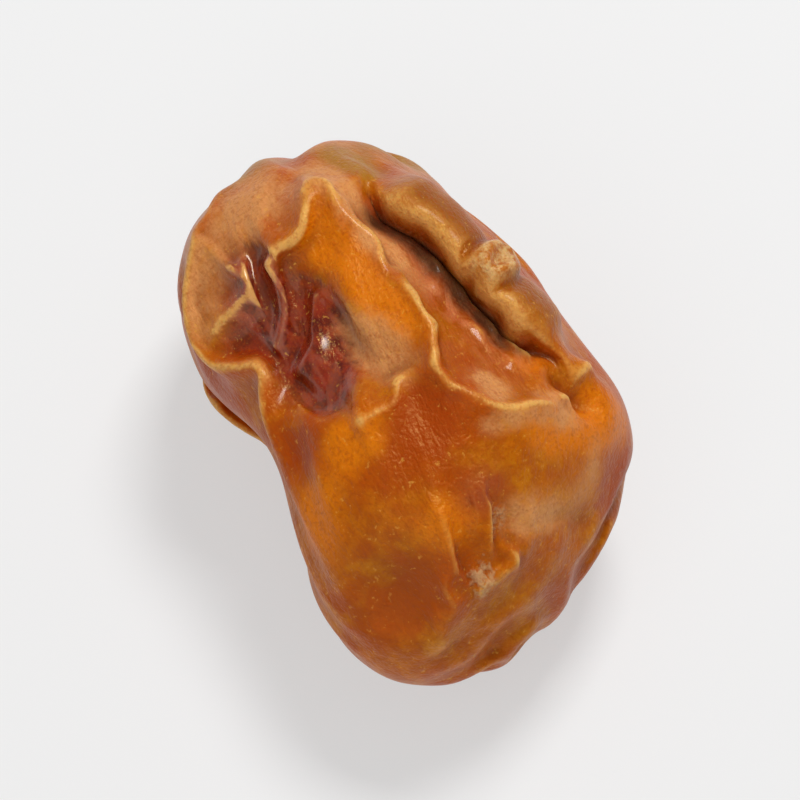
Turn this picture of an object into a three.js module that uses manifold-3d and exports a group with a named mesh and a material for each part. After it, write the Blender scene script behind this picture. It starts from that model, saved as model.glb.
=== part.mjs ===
// A semi-dry golden date lying on its flank. Millimetres; X runs from the stem end (-X) to the
// blossom tip (+X), Z is up, and the fruit rests on a small pressed flat at z = 0.
// The fruit is one grown solid; the calyx left at its stem end is a piece of its own.
import * as THREE from "three";
import { mergeVertices } from "three/addons/utils/BufferGeometryUtils.js";
import Module from "manifold-3d";

// ---- driving dimensions -------------------------------------------------------------------------
const HALF_LENGTH = 18.7; // stem end to tip, half
const HALF_TOP = 11.8; // axis to the upper side
const HALF_BOTTOM = 10.4; // axis to the lower side
const HALF_RIGHT = 12.3; // axis to the +Y flank
const HALF_LEFT = 12.7; // axis to the -Y flank
const BLUNTNESS = 2.5; // 2 is an ellipsoid, higher is blunter at both ends
const AXIS = { x: -0.49, y: -0.59, height: 10.0 }; // middle of the axis above the footprint's middle
const TIP_SLANT = { share: 0.24, angle: 55, from: 3, to: 20 }; // tip cut back on its upper right
const SKIN_DIVISIONS = 28; // facets along each side of the skin's six faced map
const FINEST_FOLD = 1.3; // narrowest half width the facets can carry

// Broad swells (+) and hollows (-): centre as station x and angle round the axis (0 up, + to +Y),
// reach along and round the fruit, turn in degrees, height.
const SWELLS = [
  { at: [3, -104], along: 6.5, round: 7.5, turn: 0, height: -3.6 }, // left waist
  { at: [8.5, 80], along: 6.5, round: 6.5, turn: 0, height: 1.5 }, // full right flank
  { at: [-2, -114], along: 5.0, round: 5.0, turn: 0, height: -1.0 }, // left flank above the waist
  { at: [16, 62], along: 7.0, round: 7.0, turn: 0, height: -0.4 }, // narrow right side of the tip
  { at: [15, -110], along: 4.5, round: 6.0, turn: 0, height: 0.3 }, // full corner of the tip
  { at: [-11, 72], along: 8.0, round: 7.0, turn: 0, height: -1.6 }, // narrow right shoulder
  { at: [-13, -62], along: 4.5, round: 5.0, turn: 0, height: 0.8 }, // full left shoulder
  { at: [-12, -30], along: 4.5, round: 5.0, turn: 0, height: 0.5 }, // shoulder plateau
  { at: [-3, -34], along: 5.5, round: 4.0, turn: -8, height: -1.6 }, // bowl of the left pit
  { at: [-0.5, 17], along: 7.5, round: 3.4, turn: 27, height: -0.7 }, // long valley
  { at: [8.5, -10], along: 4.5, round: 5.0, turn: 0, height: -0.4 }, // saddle below the ridge
  { at: [2.2, -13], along: 4.2, round: 2.0, turn: 20, height: -0.8 }, // dip beside the pit
  { at: [14.8, -52], along: 2.8, round: 2.8, turn: 0, height: -0.9 }, // round dent by the tip
  { at: [7.6, 52], along: 1.8, round: 1.2, turn: 40, height: -1.1 }, // pocket at the valley's end
  { at: [-5, 114], along: 8.0, round: 3.0, turn: -10, height: -1.0 }, // back valley
  { at: [9, 138], along: 5.5, round: 3.0, turn: 12, height: -0.8 }, // back hollow
  { at: [-7, -134], along: 8.0, round: 3.0, turn: 8, height: -0.8 }, // lower left valley
  { at: [9, -140], along: 5.5, round: 2.6, turn: -14, height: -0.8 }, // lower left hollow
];

// Folds of the skin, each a line through stations and angles: half width and height (- is a crease).
const FOLDS = [
  { // left lip
    points: [[-15.5, -38], [-14, -48], [-11.4, -57], [-9, -62], [-6.8, -66], [-4.6, -64],
      [-3.2, -59], [-1.2, -54], [0.3, -55], [2, -57], [5, -60]],
    width: 0.9, height: 0.75,
  },
  { // fork above the pit
    points: [[-12.5, -10], [-11, -13], [-9.6, -14], [-8.2, -19], [-8, -28], [-7.2, -35],
      [-5, -36]],
    width: 0.8, height: 0.75,
  },
  { // long middle ridge, hooking round the end of the valley
    points: [[-13, -12], [-11.6, -9], [-8.3, -4], [-5.5, 1], [-3.3, 2], [-0.8, 3], [2.4, 5],
      [4.7, 4], [6.5, 7], [8.5, 15], [9.3, 28], [8.5, 40], [7.2, 46]],
    width: 1.3, height: 1.0,
  },
  { points: [[5.5, -31], [5.4, -20], [4.9, -12], [3, -8]], width: 0.9, height: 0.5 },
  { // across the floor of the pit
    points: [[-5, -20], [-3.4, -25], [-1.8, -32], [-0.4, -39], [0.4, -45]],
    width: 1.1, height: 0.4,
  },
  { // corner of the tip
    points: [[11.7, -12], [15.2, -21], [17, -33], [17.3, -55], [17.6, -86]],
    width: 1.1, height: 0.35,
  },
  { points: [[4.5, 63], [7.2, 50], [8.9, 42]], width: 0.8, height: 0.6 },
  { points: [[14.8, 1], [15.9, 33], [15.1, 81]], width: 0.9, height: -0.2 }, // groove by the tip
  { // back ridge and the crease above it
    points: [[-15, 122], [-10, 130], [-5, 134], [1, 130], [8, 118], [14, 116]],
    width: 0.9, height: 0.7,
  },
  { points: [[-9, 98], [-4, 103], [2, 101], [7, 108], [11, 118]], width: 0.9, height: -0.5 },
  { // lower left ridge and the crease below it
    points: [[-15, -112], [-9, -116], [-3, -114], [3, -118], [9, -126], [15, -130]],
    width: 0.9, height: 0.7,
  },
  { points: [[-12, -126], [-7, -131], [0, -133], [5, -140]], width: 0.9, height: -0.5 },
];
const FOLD_FADE = 0.2; // share of a fold's length over which each end dies away
const FOLD_CREST = 0.3; // rounding of a fold's crest

// The sunken pit on the left shoulder: its rim, in order round it. Walls are widths of the slope.
const PIT_RIM = [[-9.9, -46], [-9.2, -35], [-6.9, -27], [-5, -20], [-2.5, -15], [0.8, -17],
  [3.6, -26], [3.6, -38], [0.6, -48], [-2, -50], [-4.6, -57], [-6.4, -50], [-8, -50]];
const PIT = { depth: 0.4, wallIn: 1.4, wallOut: 1.4 };

// The long furrow: a crease under a rolled lip on its +Y side, with a sloping floor on the other.
const FURROW_LINE = [[-11, 9], [-9.2, 14], [-7.3, 19], [-5.6, 23], [-2.8, 28], [-0.5, 33],
  [1.3, 37], [3.5, 42], [5.6, 49]];
const FURROW = {
  floorDepth: 1.0, floorReach: 3.4, wallReach: 0.9, creaseDepth: 0.8, creaseReach: 1.0,
  lipHeight: 1.3, lipOffset: 2.0, lipReach: 1.35, flankReach: 2.2, fade: 0.22,
};
const NUB = { at: [-2.2, 41], along: 1.3, round: 1.1, turn: 0, height: 0.45 }; // dried knob on the lip

// Stem end: a dimple with pleats drawn in round it, and the calyx in a shallow seat.
const DIMPLE = { depth: 0.9, reach: 4.0 };
const PLEATS = { count: 7, height: 0.15, radius: 6.2, reach: 2.6, start: -8 };
const CALYX = { radius: 2.7, thickness: 1.3, sides: 36, lobes: 3, lobeDepth: 0.07 };
const SEAT = { floor: -16.6, gap: 0.3, length: 6 };

// ---- the body and its skin ----------------------------------------------------------------------
const radians = THREE.MathUtils.degToRad;
const degrees = THREE.MathUtils.radToDeg;
const step = THREE.MathUtils.smoothstep;
const bell = (distance, reach) => Math.exp(-((distance / reach) ** 2));

function flankSizes(y, z) {
  return [y > 0 ? HALF_RIGHT : HALF_LEFT, z > 0 ? HALF_TOP : HALF_BOTTOM];
}

// Point of the smooth body in a given direction from its middle.
function bodyPoint(direction) {
  const { x, y, z } = direction;
  const [halfY, halfZ] = flankSizes(y, z);
  const off = Math.max(Math.hypot(y, z), 1e-9);
  const across = 1 / Math.max(Math.hypot(y / off / halfY, z / off / halfZ), 1e-6);
  const scale = (Math.abs(x) ** BLUNTNESS + off ** BLUNTNESS) ** (-1 / BLUNTNESS);
  return new THREE.Vector3(HALF_LENGTH * x, across * y, across * z).multiplyScalar(scale);
}

function bodyNormal(point) {
  const [halfY, halfZ] = flankSizes(point.y, point.z);
  const off = Math.max(Math.hypot(point.y / halfY, point.z / halfZ), 1e-9);
  const lengthwise = Math.abs(point.x / HALF_LENGTH) ** (BLUNTNESS - 1);
  const round = off ** (BLUNTNESS - 2);
  return new THREE.Vector3(
    (lengthwise * Math.sign(point.x)) / HALF_LENGTH,
    (round * point.y) / halfY ** 2,
    (round * point.z) / halfZ ** 2,
  ).normalize();
}

// Point of the smooth body at a station along the axis and an angle round it.
function bodyAt([x, angle]) {
  const side = Math.sin(radians(angle));
  const up = Math.cos(radians(angle));
  const [halfY, halfZ] = flankSizes(side, up);
  const taper = (1 - Math.abs(x / HALF_LENGTH) ** BLUNTNESS) ** (1 / BLUNTNESS);
  const reach = taper / Math.hypot(side / halfY, up / halfZ);
  return new THREE.Vector3(x, reach * side, reach * up);
}

function smoothLine(points, closed = false) {
  const spots = points.map(([x, angle]) => new THREE.Vector3(x, angle, 0));
  const line = new THREE.CatmullRomCurve3(spots, closed, "catmullrom", 0.5);
  return line.getPoints(points.length * 6).map((spot) => [spot.x, spot.y]);
}

// Nearest place on a line laid over the body: distance, signed side (+ left of it) and share.
function nearest(point, normal, line) {
  let best = { distance: Infinity, side: 0, share: 0 };
  const tangent = new THREE.Vector3();
  const offset = new THREE.Vector3();
  for (let i = 0; i + 1 < line.length; i += 1) {
    tangent.subVectors(line[i + 1], line[i]);
    const length = tangent.length();
    offset.subVectors(point, line[i]);
    const along = THREE.MathUtils.clamp(offset.dot(tangent) / length ** 2, 0, 1);
    offset.addScaledVector(tangent, -along);
    const distance = offset.length();
    if (distance < best.distance) {
      const left = Math.sign(tangent.clone().cross(offset).dot(normal));
      best = { distance, side: left * distance, share: (i + along) / (line.length - 1) };
    }
  }
  return best;
}

function fade(share, ends) {
  return step(share, 0, ends) * step(1 - share, 0, ends);
}

function swellHeight(point, swell) {
  const centre = bodyAt(swell.at);
  const normal = bodyNormal(centre);
  const along = new THREE.Vector3(1, 0, 0);
  along.addScaledVector(normal, -along.dot(normal)).normalize();
  along.applyAxisAngle(normal, radians(swell.turn));
  const round = normal.clone().cross(along);
  const offset = point.clone().sub(centre);
  const depth = offset.dot(normal) / Math.min(swell.along, swell.round);
  const reach = bell(offset.dot(along), swell.along) * bell(offset.dot(round), swell.round);
  return swell.height * reach * Math.exp(-0.5 * depth ** 2);
}

const FOLD_CURVES = FOLDS.map((fold) => ({ ...fold, line: smoothLine(fold.points).map(bodyAt) }));

function foldHeight(point, normal, fold) {
  const { distance, share } = nearest(point, normal, fold.line);
  const width = Math.max(fold.width, FINEST_FOLD);
  const height = fold.height * Math.sqrt(fold.width / width);
  return height * fade(share, FOLD_FADE) * Math.exp(-Math.hypot(distance, FOLD_CREST) / width);
}

const RIM = smoothLine(PIT_RIM, true);
const RIM_CURVE = RIM.map(bodyAt);

function insideRim(x, angle) {
  let inside = false;
  for (let i = 0; i + 1 < RIM.length; i += 1) {
    const [xa, a] = RIM[i];
    const [xb, b] = RIM[i + 1];
    if (angle > a !== angle > b && x < ((xb - xa) * (angle - a)) / (b - a) + xa) inside = !inside;
  }
  return inside;
}

function pitHeight(point, normal) {
  const { distance } = nearest(point, normal, RIM_CURVE);
  const inside = insideRim(point.x, degrees(Math.atan2(point.y, point.z)));
  const inward = inside ? distance : -distance;
  return -PIT.depth * step(inward, -PIT.wallOut, PIT.wallIn);
}

const FURROW_CURVE = smoothLine(FURROW_LINE).map(bodyAt);

function furrowHeight(point, normal) {
  const { side, share } = nearest(point, normal, FURROW_CURVE);
  const floor = FURROW.floorDepth * bell(side, side < 0 ? FURROW.floorReach : FURROW.wallReach);
  const crease = FURROW.creaseDepth * bell(side, FURROW.creaseReach);
  const past = side - FURROW.lipOffset;
  const lip = FURROW.lipHeight * bell(past, past < 0 ? FURROW.lipReach : FURROW.flankReach);
  return fade(share, FURROW.fade) * (lip - floor - crease);
}

function stemHeight(point) {
  if (point.x > PLEATS.start) return 0;
  const radius = Math.hypot(point.y, point.z);
  const angle = Math.atan2(point.y, point.z);
  const pleat = Math.sin(PLEATS.count * angle) * bell(radius - PLEATS.radius, PLEATS.reach);
  return PLEATS.height * pleat - DIMPLE.depth * bell(radius, DIMPLE.reach);
}

function skinHeight(point, normal) {
  let height = pitHeight(point, normal) + furrowHeight(point, normal) + stemHeight(point);
  for (const swell of [...SWELLS, NUB]) height += swellHeight(point, swell);
  for (const fold of FOLD_CURVES) height += foldHeight(point, normal, fold);
  return height;
}

// The tip's end is sheared: cut back on one side and drawn out on the other.
function slantAt(point) {
  return TIP_SLANT.share * step(point.x, TIP_SLANT.from, TIP_SLANT.to);
}

function towardSlant(point) {
  const angle = radians(TIP_SLANT.angle);
  return point.y * Math.sin(angle) + point.z * Math.cos(angle);
}

// A box blown up to the body: every facet about the same size, no pinched ends.
function skinGeometry() {
  const n = SKIN_DIVISIONS;
  const geometry = new THREE.BoxGeometry(2, 2, 2, n, n, n);
  const places = geometry.getAttribute("position");
  const spread = (c) => Math.tan((c * Math.PI) / 4);
  for (let i = 0; i < places.count; i += 1) {
    const direction = new THREE.Vector3().fromBufferAttribute(places, i);
    direction.set(spread(direction.x), spread(direction.y), spread(direction.z)).normalize();
    const point = bodyPoint(direction);
    const normal = bodyNormal(point);
    const slant = slantAt(point);
    point.addScaledVector(normal, skinHeight(point, normal));
    point.x -= slant * towardSlant(point);
    places.setXYZ(i, point.x + AXIS.x, point.y + AXIS.y, point.z + AXIS.height);
  }
  return geometry;
}

// ---- calyx --------------------------------------------------------------------------------------
// A shallow woody cup, open side out, with three faint lobes; outward is -X.
function calyxGeometry() {
  const { radius: r, thickness: t } = CALYX;
  const profile = [[0, 0], [0.8 * r, 0], [r, 0.3 * t], [0.97 * r, 0.8 * t], [0.8 * r, t],
    [0.62 * r, 0.85 * t], [0.45 * r, 0.5 * t], [0, 0.45 * t]];
  const geometry = new THREE.LatheGeometry(profile.map(([a, b]) => new THREE.Vector2(a, b)),
    CALYX.sides);
  const places = geometry.getAttribute("position");
  for (let i = 0; i < places.count; i += 1) {
    const [x, y, z] = [places.getX(i), places.getY(i), places.getZ(i)];
    const lobe = 1 - CALYX.lobeDepth * (1 - Math.cos(CALYX.lobes * Math.atan2(z, x))) * 0.5;
    places.setXYZ(i, x * lobe, y, z * lobe);
  }
  geometry.rotateZ(Math.PI / 2);
  return geometry.translate(SEAT.floor + AXIS.x - SEAT.gap, AXIS.y, AXIS.height);
}

function seatGeometry() {
  const geometry = new THREE.CylinderGeometry(CALYX.radius + SEAT.gap, CALYX.radius + SEAT.gap,
    SEAT.length, CALYX.sides);
  geometry.rotateZ(Math.PI / 2);
  return geometry.translate(SEAT.floor - SEAT.length / 2 + AXIS.x, AXIS.y, AXIS.height);
}

// ---- solids -------------------------------------------------------------------------------------
const wasm = await Module();
wasm.setup();

function solid(geometry) {
  const plain = geometry.clone();
  plain.deleteAttribute("normal");
  plain.deleteAttribute("uv");
  const merged = mergeVertices(plain, 1e-4);
  return new wasm.Manifold(new wasm.Mesh({
    numProp: 3,
    vertProperties: new Float32Array(merged.getAttribute("position").array),
    triVerts: new Uint32Array(merged.getIndex().array),
  }));
}

function geometryOf(body) {
  const mesh = body.getMesh();
  const geometry = new THREE.BufferGeometry();
  geometry.setAttribute("position", new THREE.BufferAttribute(mesh.vertProperties, 3));
  geometry.setIndex(new THREE.BufferAttribute(mesh.triVerts, 1));
  geometry.computeVertexNormals();
  return geometry;
}

const FLOOR = { span: 80, depth: 20 };
const floor = new THREE.BoxGeometry(FLOOR.span, FLOOR.span, FLOOR.depth);
floor.translate(0, 0, -FLOOR.depth / 2);
const fruitBody = solid(skinGeometry()).subtract(solid(floor)).subtract(solid(seatGeometry()));
const calyxBody = solid(calyxGeometry());

const group = new THREE.Group();
group.name = "date";

function addPiece(name, body, color, roughness) {
  const material = new THREE.MeshStandardMaterial({ color, roughness, metalness: 0 });
  const mesh = new THREE.Mesh(geometryOf(body), material);
  mesh.name = name;
  group.add(mesh);
}

addPiece("fruit", fruitBody, 0xc47a2a, 0.45);
addPiece("calyx", calyxBody, 0x9c7a52, 0.85);

export default group;
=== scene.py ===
# A semi-dry golden date lying on its flank, with the woody calyx still in its stem end.
# Lengths are worked out in millimetres in the fruit's own frame and written to the meshes in metres.
# Angles in the tables are in degrees.
import math

import bpy
import numpy as np
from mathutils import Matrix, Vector


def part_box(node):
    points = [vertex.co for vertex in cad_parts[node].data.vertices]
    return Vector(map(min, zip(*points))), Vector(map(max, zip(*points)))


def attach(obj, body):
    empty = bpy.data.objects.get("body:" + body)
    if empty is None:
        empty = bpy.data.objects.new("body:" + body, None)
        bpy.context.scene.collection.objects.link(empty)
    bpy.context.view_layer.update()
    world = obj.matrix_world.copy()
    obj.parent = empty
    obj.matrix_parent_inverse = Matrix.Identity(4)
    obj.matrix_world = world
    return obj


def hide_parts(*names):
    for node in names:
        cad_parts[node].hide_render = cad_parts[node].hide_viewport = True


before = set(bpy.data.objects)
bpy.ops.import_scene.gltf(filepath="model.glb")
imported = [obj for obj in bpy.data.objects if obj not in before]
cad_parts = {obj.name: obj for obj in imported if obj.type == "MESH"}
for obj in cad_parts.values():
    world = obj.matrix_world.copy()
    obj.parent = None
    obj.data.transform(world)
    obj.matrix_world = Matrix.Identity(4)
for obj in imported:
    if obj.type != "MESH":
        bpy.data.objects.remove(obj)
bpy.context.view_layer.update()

MM = 0.001

# ---- fruit: flesh and skin ----------------------------------------------------------------------
# One grown body of soft amber flesh in a thin, tough, clear skin. As it dried, the flesh drew in and
# left the skin too large, so the skin sags into a pit and a long furrow and buckles into folds
# between them. The side it lay on is flat.

# The smooth body under the skin: its middle, its half sizes each way, right being +Y, and how blunt
# it is, where an ellipsoid is 2. A place on it is a station along the fruit, + towards the tip, and
# an angle round it, 0 on top and + to the right.
AXIS_MIDDLE = np.array([-0.49, -0.59, 10.0])
HALF_LENGTH = 18.1
HALF_TOP, HALF_BOTTOM = 11.3, 10.3
HALF_RIGHT, HALF_LEFT = 12.0, 11.8
BLUNTNESS = 2.5
# Its mesh is a cube's faces blown up to a ball, each divided so many times along its sides.
CUBE_FACES, COARSE_DIVISIONS = 6, 63


def unit(vectors):
    return vectors / np.maximum(np.linalg.norm(vectors, axis=-1, keepdims=True), 1e-12)


def six_faced_ball(divisions):
    """Directions of a ball mapped from a cube's six faces, the quads that join them, and the first
    place of each direction in the six grids with the direction at each of their places."""
    steps = np.tan(np.linspace(-math.pi / 4, math.pi / 4, divisions + 1))
    grid = np.arange((divisions + 1) ** 2).reshape(divisions + 1, divisions + 1)
    quads = np.stack([grid[:-1, :-1], grid[1:, :-1], grid[1:, 1:], grid[:-1, 1:]], -1).reshape(-1, 4)
    x, y, z = np.eye(3)
    faces = [(x, y, z), (-x, -y, z), (y, -x, z), (-y, x, z), (z, y, -x), (-z, y, x)]
    across, up = np.meshgrid(steps, steps, indexing="ij")
    points = [(out + across[..., None] * u + up[..., None] * v).reshape(-1, 3) for out, u, v in faces]
    joined = np.vstack([quads + k * grid.size for k in range(len(faces))])
    points = unit(np.vstack(points))
    _, first, same = np.unique(points.round(6), axis=0, return_index=True, return_inverse=True)
    same = same.reshape(-1)
    return points[first], same[joined], first, same


def refined(values, same, finer_first):
    """Values of a coarse ball carried to one with twice its divisions."""
    side = math.isqrt(len(same) // CUBE_FACES)
    grids = values[same].reshape(CUBE_FACES, side, side, -1)
    for axis in (1, 2):
        grids = np.moveaxis(grids, axis, 0)
        halfway = (grids[1:] + grids[:-1]) / 2
        doubled = np.empty((2 * len(grids) - 1, *grids.shape[1:]))
        doubled[::2], doubled[1::2] = grids, halfway
        grids = np.moveaxis(doubled, 0, axis)
    return grids.reshape(-1, grids.shape[-1])[finer_first]


def flank_sizes(y, z):
    """Half width and half height on the side of the body that a point is on."""
    return np.where(y > 0, HALF_RIGHT, HALF_LEFT), np.where(z > 0, HALF_TOP, HALF_BOTTOM)


def body_points(directions):
    """The smooth body, blunter than an ellipsoid, in the given directions from its middle."""
    x, y, z = directions.T
    half_y, half_z = flank_sizes(y, z)
    off = np.maximum(np.hypot(y, z), 1e-9)
    across = 1 / np.maximum(np.hypot(y / off / half_y, z / off / half_z), 1e-6)
    scale = (np.abs(x) ** BLUNTNESS + off**BLUNTNESS) ** (-1 / BLUNTNESS)
    return np.stack([HALF_LENGTH * x * scale, across * y * scale, across * z * scale], 1)


def body_normals(points):
    """Which way the smooth body faces at points on it."""
    x, y, z = points.T
    half_y, half_z = flank_sizes(y, z)
    off = np.maximum(np.hypot(y / half_y, z / half_z), 1e-9)
    lengthwise = np.abs(x / HALF_LENGTH) ** (BLUNTNESS - 1) * np.sign(x) / HALF_LENGTH
    around = off ** (BLUNTNESS - 2)
    return unit(np.stack([lengthwise, around * y / half_y**2, around * z / half_z**2], 1))


def body_at(station, angle):
    """Points of the smooth body at the given stations and angles."""
    side, up = np.sin(np.radians(angle)), np.cos(np.radians(angle))
    half_y, half_z = flank_sizes(side, up)
    narrowing = np.maximum(1 - np.abs(station / HALF_LENGTH) ** BLUNTNESS, 0) ** (1 / BLUNTNESS)
    reach = narrowing / np.hypot(side / half_y, up / half_z)
    return np.stack([station + 0 * reach, reach * side, reach * up], -1)


def smooth_line(points, closed=False, steps=6):
    """A smooth curve through points, with a number of steps from each of them to the next."""
    points = np.array(points, float)
    ends = (points[-1:], points[:2]) if closed else (2 * points[:1] - points[1:2],
                                                     2 * points[-1:] - points[-2:-1])
    points = np.vstack([ends[0], points, ends[1]])
    t = np.linspace(0, 1, steps, endpoint=False)[:, None]
    line = []
    for a, b, c, d in zip(points, points[1:], points[2:], points[3:]):
        line.append(0.5 * (2 * b + (c - a) * t + (2 * a - 5 * b + 4 * c - d) * t**2
                           + (3 * b - a - 3 * c + d) * t**3))
    return np.vstack(line + [points[-2:-1]])


def ramp(low, high, value):
    """0 at the low value, 1 at the high one and smooth between them; low may be above high."""
    t = np.clip((value - low) / (high - low), 0, 1)
    return t * t * (3 - 2 * t)


def bell(distance, reach):
    """1 at no distance, dying away over the reach."""
    return np.exp(-((distance / reach) ** 2))


FAR = 1000.0


def nearest(points, normals, line, within=7.0):
    """Distance to a line on the body, share of its length, distance to the side (+ is left of the
    way it runs) and direction to that side. Points not within reach of it are only said to be far."""
    best, share = np.full(len(points), FAR), np.zeros(len(points))
    across = np.zeros_like(points)
    near = np.flatnonzero(np.all((points > line.min(0) - within) & (points < line.max(0) + within), 1))
    close, level = points[near], normals[near]
    gap, part = np.full(len(near), np.inf), np.zeros(len(near))
    run, away = np.zeros_like(close), np.zeros_like(close)
    for k, (start, end) in enumerate(zip(line, line[1:])):
        step = end - start
        t = np.clip((close - start) @ step / (step @ step), 0, 1)
        offset = close - start - t[:, None] * step
        distance = np.linalg.norm(offset, axis=1)
        nearer = distance < gap
        gap[nearer], part[nearer] = distance[nearer], (k + t[nearer]) / (len(line) - 1)
        run[nearer], away[nearer] = step, offset[nearer]
    across[near] = unit(np.cross(level, run))
    best[near], share[near] = gap, part
    side = best.copy()
    side[near] *= np.sign(np.einsum("ij,ij->i", across[near], away))
    return best, share, side, across


def fade(share, ends):
    """1 along a line, dying away over a share of its length at both ends."""
    return ramp(0, ends, share) * ramp(0, ends, 1 - share)


def patch(points, station, angle, along, around, turn=0):
    """1 at a place on the body, dying away over the given reaches along and round the fruit."""
    centre = body_at(np.array([station]), np.array([angle]))
    normal = body_normals(centre)[0]
    lengthwise = unit(np.array([1.0, 0, 0]) - normal * normal[0])
    sideways = np.cross(normal, lengthwise)
    c, s = math.cos(math.radians(turn)), math.sin(math.radians(turn))
    u, v = lengthwise * c + sideways * s, sideways * c - lengthwise * s
    offset = points - centre
    depth = offset @ normal / min(along, around)
    return bell(offset @ u, along) * bell(offset @ v, around) * np.exp(-0.5 * depth**2)


def inside_rim(points, normals, rim):
    """Distance in from a closed line of stations and angles, negative outside it."""
    line = smooth_line(rim, closed=True)
    distance = nearest(points, normals, body_at(*line.T))[0]
    station, angle = points[:, 0], np.degrees(np.arctan2(points[:, 1], points[:, 2]))
    inside = np.zeros(len(points), bool)
    for (xa, a), (xb, b) in zip(line, line[1:]):
        if a != b:
            crosses = (angle > a) != (angle > b)
            inside ^= crosses & (station < (xb - xa) * (angle - a) / (b - a) + xa)
    return np.where(inside, distance, -distance)


# Large numbers that stir a corner's place and a seed until the result looks random.
AXIS_PRIMES, SEED_PRIME = np.array([73856093, 19349663, 83492791]), 2654435761
FIRST_STIR, SECOND_STIR, STIR_OFFSET = 1274126177, 1103515245, 12345
HIGHEST = 0x7FFFFFFF


def scatter(corners, seed):
    """A steady random number from 0 to 1 for each whole-number corner."""
    mixed = corners @ AXIS_PRIMES ^ (seed * SEED_PRIME)
    mixed = ((mixed ^ (mixed >> 13)) * FIRST_STIR) & HIGHEST
    mixed = ((mixed ^ (mixed >> 16)) * SECOND_STIR + STIR_OFFSET) & HIGHEST
    return mixed / HIGHEST


def mottle(points, size, seed, octaves=1):
    """Soft noise round 0 with blotches about the given size, each octave adding finer, weaker ones."""
    total = 0
    for octave in range(octaves):
        place = points / size * 2**octave
        corner = np.floor(place).astype(np.int64)
        t = place - corner
        t = t**3 * (t * (t * 6 - 15) + 10)
        value = 0
        for step in np.ndindex(2, 2, 2):
            weight = np.prod(np.where(step, t, 1 - t), axis=1)
            value = value + weight * scatter(corner + step, seed + octave)
        total = total + (2 * value - 1) * 0.5**octave
    return total


AXIS_SEEDS = (0, 17, 34)


def stirred(points, size, amount, seed):
    """The points pushed about by noise, so that what is drawn on them wanders."""
    push = [mottle(points, size, seed + shift) for shift in AXIS_SEEDS]
    return points + amount * np.stack(push, 1)


def neighbours(quads, count):
    """The eight points round each point of the mesh; where there are fewer, it stands in itself."""
    a, b, c, d = quads.T
    pairs = np.vstack([np.stack(pair, 1) for pair in ((a, b), (b, c), (c, d), (d, a), (a, c), (b, d))])
    pairs = np.unique(np.vstack([pairs, pairs[:, ::-1]]), axis=0)
    place = np.arange(len(pairs)) - np.searchsorted(pairs[:, 0], pairs[:, 0])
    table = np.repeat(np.arange(count)[:, None], 8, 1)
    table[pairs[:, 0], place] = pairs[:, 1]
    return table


# Settling: speed kept from step to step, length of a step, how many times harder it is to push the
# skin into the flesh than to lift it off, and the pull that keeps it from creeping sideways.
SPEED_KEPT, STEP, FLESH_RESISTANCE, CREEP_HOLD = 0.93, 0.4, 3, 0.001


def settled(shape, outward, around, loose, excess_long, excess_round, bend, hold, steps, nudge):
    """The skin once it has buckled. It is longer than the shape it lies on by its excess along and
    round the fruit where it is loose, resists bending, holds to the flesh, and stops at the surface
    that the fruit lies on. A nudge at each point starts it one way or the other."""
    gap = shape[around] - shape[:, None]
    length = np.linalg.norm(gap, axis=2)
    lengthwise = (gap[..., 0] / np.maximum(length, 1e-9)) ** 2
    slack = (loose[around] + loose[:, None]) / 2
    length *= 1 + slack * (excess_round + (excess_long - excess_round) * lengthwise)
    curl = gap.mean(1)
    skin, speed = shape + outward * nudge[:, None], np.zeros_like(shape)
    for _ in range(steps):
        gap = skin[around] - skin[:, None]
        size = np.sqrt(np.einsum("ijk,ijk->ij", gap, gap)) + 1e-9
        pull = np.einsum("ij,ijk->ik", 1 - length / size, gap)
        bent = gap.mean(1) - curl
        pull += bend * (bent - bent[around].mean(1))
        off = skin - shape
        risen = np.einsum("ij,ij->i", off, outward)
        grip = np.where(risen > 0, hold, FLESH_RESISTANCE * hold)
        pull -= (grip * risen)[:, None] * outward + CREEP_HOLD * off
        speed = SPEED_KEPT * (speed + STEP * pull)
        skin = skin + STEP * speed
        skin[:, 2] = np.maximum(skin[:, 2], -AXIS_MIDDLE[2])
    return skin


# Broad swells (+) and hollows (-): station, angle, reach along and around, turn, height.
SWELLS = [
    (3.0, -104, 6.5, 7.5, 0, -3.6),  # left waist
    (8.5, 80, 6.5, 6.5, 0, 1.5),  # full right flank
    (-2.0, -114, 5.0, 5.0, 0, -1.0),  # left flank above the waist
    (16.0, 62, 7.0, 7.0, 0, -0.4),  # narrow right side of the tip
    (15.0, -110, 4.5, 6.0, 0, 0.3),  # full corner of the tip
    (-11.0, 72, 8.0, 7.0, 0, -1.6),  # narrow right shoulder
    (-13.0, -62, 4.5, 5.0, 0, 0.8),  # full left shoulder
    (-12.0, -30, 4.5, 5.0, 0, 0.5),  # shoulder plateau
    (-3.0, -34, 5.5, 4.0, -8, -1.6),  # bowl of the pit
    (-0.5, 17, 7.5, 3.4, 27, -0.7),  # valley that the furrow runs in
    (8.5, -10, 4.5, 5.0, 0, -0.4),  # saddle below the ridge
    (2.2, -13, 4.2, 2.0, 20, -0.8),  # dip beside the pit
    (14.8, -52, 2.8, 2.8, 0, -0.9),  # round dent by the tip
    (7.6, 52, 1.8, 1.2, 40, -1.1),  # pocket at the furrow's end
    (-5.0, 114, 8.0, 3.0, -10, -1.0),  # back valley
    (9.0, 138, 5.5, 3.0, 12, -0.8),  # back hollow
    (-7.0, -134, 8.0, 3.0, 8, -0.8),  # lower left valley
    (9.0, -140, 5.5, 2.6, -14, -0.8),  # lower left hollow
]

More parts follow.
